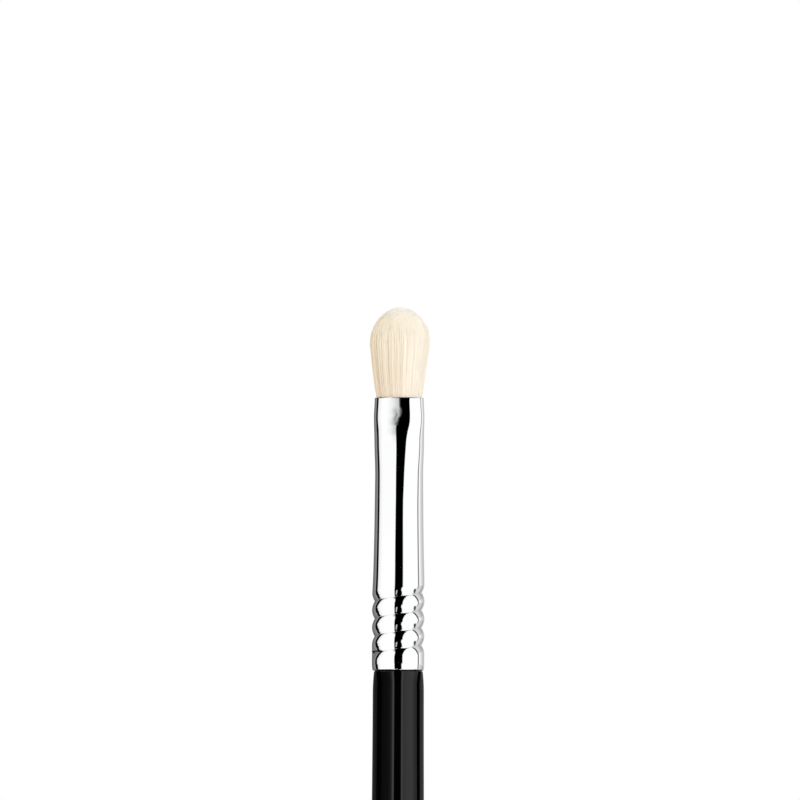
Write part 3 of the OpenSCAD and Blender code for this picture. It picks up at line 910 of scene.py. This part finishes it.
def locks(place):
    """A smooth field of small leans that draws hairs together."""
    x, y = place[:, 0], place[:, 1]
    lean_x = np.sin(17 * x + 5 * y + 1) + 0.7 * np.sin(31 * x - 13 * y + 2)
    lean_y = np.sin(15 * y - 6 * x + 3) + 0.7 * np.sin(29 * y + 11 * x)
    return np.stack([lean_x, lean_y], axis=1)


# %% Paths of all the hairs
# the crown is lower at both sides, and most of all at the left
side = root @ np.array([math.cos(CAMERA_TURN), math.sin(CAMERA_TURN)])
low_side = LEFT_DROP * eased((-side - 0.1) / 0.6) + RIGHT_DROP * eased((side - 0.2) / 0.6)
# a hair leans with its lock and a little on its own, and ends a bit short of the dome
lean = LOCK_LEAN * locks(root) + rng.normal(0, OWN_LEAN, (HAIRS, 2))
tip_reach = reach * (1 - SHORTER * rng.random(HAIRS) * reach)
tip_z = crown_z(tip_reach) - np.abs(rng.normal(0, UNEVEN, HAIRS)) - low_side + RAISED
# loose hair, in front, behind and at the left, leans, sinks and turns more than the rest
outward = np.arctan2(root[:, 1] / TUFT_T, root[:, 0] / TUFT_W)
from_parting = outward - (CAMERA_TURN - math.pi / 2 + PARTED_AT)
parted = np.clip(0.5 + 0.8 * np.cos(2 * from_parting), 0, 1)
loose = np.maximum(0.2 + 0.8 * parted, 0.8 * eased((-side - 0.2) / 0.4))
lean *= (0.3 + 0.7 * loose)[:, None]
depth = LEAST_SINK + SINK * rng.random(HAIRS) * loose
stray = rng.random(HAIRS) < STRAYS
facing = outward - math.radians(30) + rng.normal(0, 0.3, HAIRS) * loose
# the left is painted a little darker, as painted shade, and the right paler, as painted
# light, and each hair and lock has its own tint
painted_shade_left, painted_light_right = 0.1 * eased((-side - 0.4) / 0.5), 0.12 * eased((side - 0.4) / 0.5)
by_hair = (LEAST_VARIED + VARIED * parted) * rng.normal(0, 1, HAIRS)
by_lock = 0.06 * parted * np.sin(41 * root[:, 0] + 9 * root[:, 1])
tint = np.clip(TONE - painted_shade_left + painted_light_right + by_hair + by_lock, 0, 1)
print("tips from", round(float(tip_z.min()), 2), "to", round(float(tip_z.max()), 2))

# how hard the dome holds a hair in and what gives that back in reach, how far above the
# heart's foot a hair starts, and how far the foot of the tuft leans to the left
HOLD, GIVEN_BACK, ROOT_COVER, SLUMP, SLUMP_L = 40, 1.018, 0.4, 0.07, 6


def hair_copies(chosen):
    """Points of the chosen hairs, and how far along its hair each one lies."""
    t = np.broadcast_to(hair_points[:, 2], (len(chosen), len(hair_points)))
    foot = ROOT_Z + ROOT_COVER
    z = foot + (tip_z[chosen, None] - foot) * t
    place = root[chosen, None, :] + lean[chosen, None, :] * (eased(t) ** 2)[..., None]
    out = np.hypot(place[..., 0], place[..., 1]) + 1e-9
    above = z + low_side[chosen, None] * eased(t) - BELLY_Z
    dome = np.sqrt(np.clip(1 - np.clip(above / DOME_L, 0, 1) ** 2, 0, 1))
    room = (dome - depth[chosen, None]) / out + STRAY_OUT * stray[chosen, None] * t
    held = -np.log(np.exp(-HOLD) + np.exp(-HOLD * np.clip(room, 0, 3))) / HOLD * GIVEN_BACK
    place = place * held[..., None]
    x = place[..., 0] * bundle(z, INNER_W, TUFT_W / 2)
    y = place[..., 1] * bundle(z, INNER_T, TUFT_T / 2)
    slump = -SLUMP * np.sin(np.pi * np.clip(z / SLUMP_L, 0, 1))
    x, y = x + slump * math.cos(CAMERA_TURN), y + slump * math.sin(CAMERA_TURN)
    spin = facing[chosen, None]
    across = hair_points[:, 0] * HAIR_D / 2, hair_points[:, 1] * HAIR_D / 2
    x = x + across[0] * np.cos(spin) - across[1] * np.sin(spin)
    y = y + across[0] * np.sin(spin) + across[1] * np.cos(spin)
    return np.stack([x, y, MOUTH_Z + z], axis=-1) * MM, t


# %% [markdown]
# Natural bleached hair is cream. At the roots it varies most from hair to hair. The ends
# that are combed over the dome are painted a shade deeper, as painted shade where they
# catch the most light, and the top of the crown is painted palest, as painted light for
# what the hair ends let through. The base colour goes through these along each hair and by
# height, and the tint of each hair makes some strands lighter than others, and carries the
# painted shade on the left and the painted light on the right. A little sheen softens the
# outline.

# %% Hair
hair, shader = finish("soft_hair", (0.93, 0.86, 0.74), 0.55, specular=0.2)
tint_of, along_of = node(hair, "Attribute"), node(hair, "Attribute")
tint_of.attribute_name, along_of.attribute_name = "hair_tint", "hair_along"
ROOTS = [(0.0, (0.77, 0.58, 0.39)), (0.5, (0.945, 0.84, 0.715)), (1.0, (0.97, 0.9, 0.8))]
MIDDLE = [(0.0, (0.85, 0.72, 0.55)), (0.5, (0.94, 0.84, 0.71)), (1.0, (0.96, 0.885, 0.78))]
# painted shade on the ends, where they catch the most light, and painted light on the crown's top,
# from CROWN_FROM to CROWN_FULL above the mouth
PAINTED_SHADE_TIPS = [(0.0, (0.825, 0.735, 0.605)), (0.5, (0.85, 0.765, 0.645)), (1.0, (0.88, 0.81, 0.71))]
PAINTED_LIGHT_CROWN = [(0.0, (0.95, 0.895, 0.82)), (0.5, (0.975, 0.93, 0.865)), (1.0, (0.985, 0.95, 0.9))]
CROWN_FROM, CROWN_FULL = (MOUTH_Z + 11.0) * MM, (MOUTH_Z + 12.2) * MM
height_at = split(hair, own_place(hair))["Z"]
shade = tinted(hair, tint_of.outputs["Fac"], ROOTS)
for source, start, full, colours in ((along_of.outputs["Fac"], 0.35, 0.8, MIDDLE),
                                     (along_of.outputs["Fac"], 0.8, 1.0, PAINTED_SHADE_TIPS),
                                     (height_at, CROWN_FROM, CROWN_FULL, PAINTED_LIGHT_CROWN)):
    shade = mixed(hair, spread(hair, source, 0, 1, start, full), shade,
                  tinted(hair, tint_of.outputs["Fac"], colours))
wire(hair, shade, shader.inputs["Base Color"])
shader.inputs["Sheen Weight"].default_value = 0.15
shader.inputs["Sheen Roughness"].default_value = 0.5

# %% Grow the hairs in parts
PARTS = 4
for part in range(PARTS):
    chosen = index[part::PARTS]
    points, along = hair_copies(chosen)
    count = len(hair_points)
    faces = [[count * i + v for v in face] for i in range(len(chosen)) for face in hair_faces]
    mesh = bpy.data.meshes.new(f"tuft_hair_{part + 1}")
    mesh.from_pydata(points.reshape(-1, 3).tolist(), [], faces)
    for name, values in (("hair_tint", np.repeat(tint[chosen], count)),
                         ("hair_along", along.reshape(-1))):
        kept = mesh.attributes.new(name, "FLOAT", "POINT")
        kept.data.foreach_set("value", values.astype(np.float32))
    piece = bpy.data.objects.new(mesh.name, mesh)
    bpy.context.scene.collection.objects.link(piece)
    hand_over(piece, hair, "soft_bristle", "bristle_tuft")

# %% Finish of the heart
core_hair, shader = finish("packed_hair", (0.92, 0.81, 0.67), 0.7, specular=0.1)
strands = noise(core_hair, (1, 1, 0.03), 5200, 3)
patterned(core_hair, shader, strands, [(0.3, (0.9, 0.8, 0.66)), (0.7, (0.96, 0.89, 0.79))], 3e-5)
hand_over(heart, core_hair, "soft_bristle", "bristle_tuft")

# %% [markdown]
# ## What the ferrule hides
#
# The turned wood, the glue, the resin and the thread can't be seen, but whoever opens
# the model finds them, so each has its own finish over the measured solid.

# %% Hidden pieces
wood, shader = finish("handle_wood", (0.72, 0.53, 0.33), 0.6)
grain = noise(wood, (1, 1, 0.04), 900, 6)
wire(wood, spread(wood, grain, 0.5, 0.75), shader.inputs["Roughness"])
patterned(wood, shader, grain,
          [(0.3, (0.6, 0.4, 0.22)), (0.55, (0.74, 0.55, 0.35)), (0.8, (0.8, 0.63, 0.43))], 2e-5)
glue, shader = finish("epoxy_glue", (0.62, 0.5, 0.26), 0.35)
bubbles = noise(glue, (1, 1, 1), 900, 5)
patterned(glue, shader, bubbles, [(0.3, (0.5, 0.38, 0.17)), (0.7, (0.7, 0.58, 0.34))])
resin, shader = finish("rooting_resin", (0.6, 0.42, 0.2), 0.4)
roots = noise(resin, (1, 1, 0.05), 2600, 4)
patterned(resin, shader, roots, [(0.3, (0.42, 0.27, 0.12)), (0.7, (0.76, 0.6, 0.38))], 2e-5)
thread, shader = finish("binding_thread", (0.85, 0.84, 0.8), 0.8)
turns = node(thread, "TexWave", Scale=1500.0, Distortion=1.5)
turns.bands_direction = "Z"
wire(thread, own_place(thread), turns.inputs["Vector"])
patterned(thread, shader, turns.outputs["Fac"],
          [(0.2, (0.6, 0.58, 0.53)), (0.8, (0.92, 0.91, 0.87))], 5e-5)
for name, material in (("handle_core", wood), ("tenon_glue", glue),
                       ("root_plug", resin), ("knot_thread", thread)):
    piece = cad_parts[name]
    piece.data.materials.clear()
    piece.data.materials.append(material)
    print(name, "is finished as", material.name)
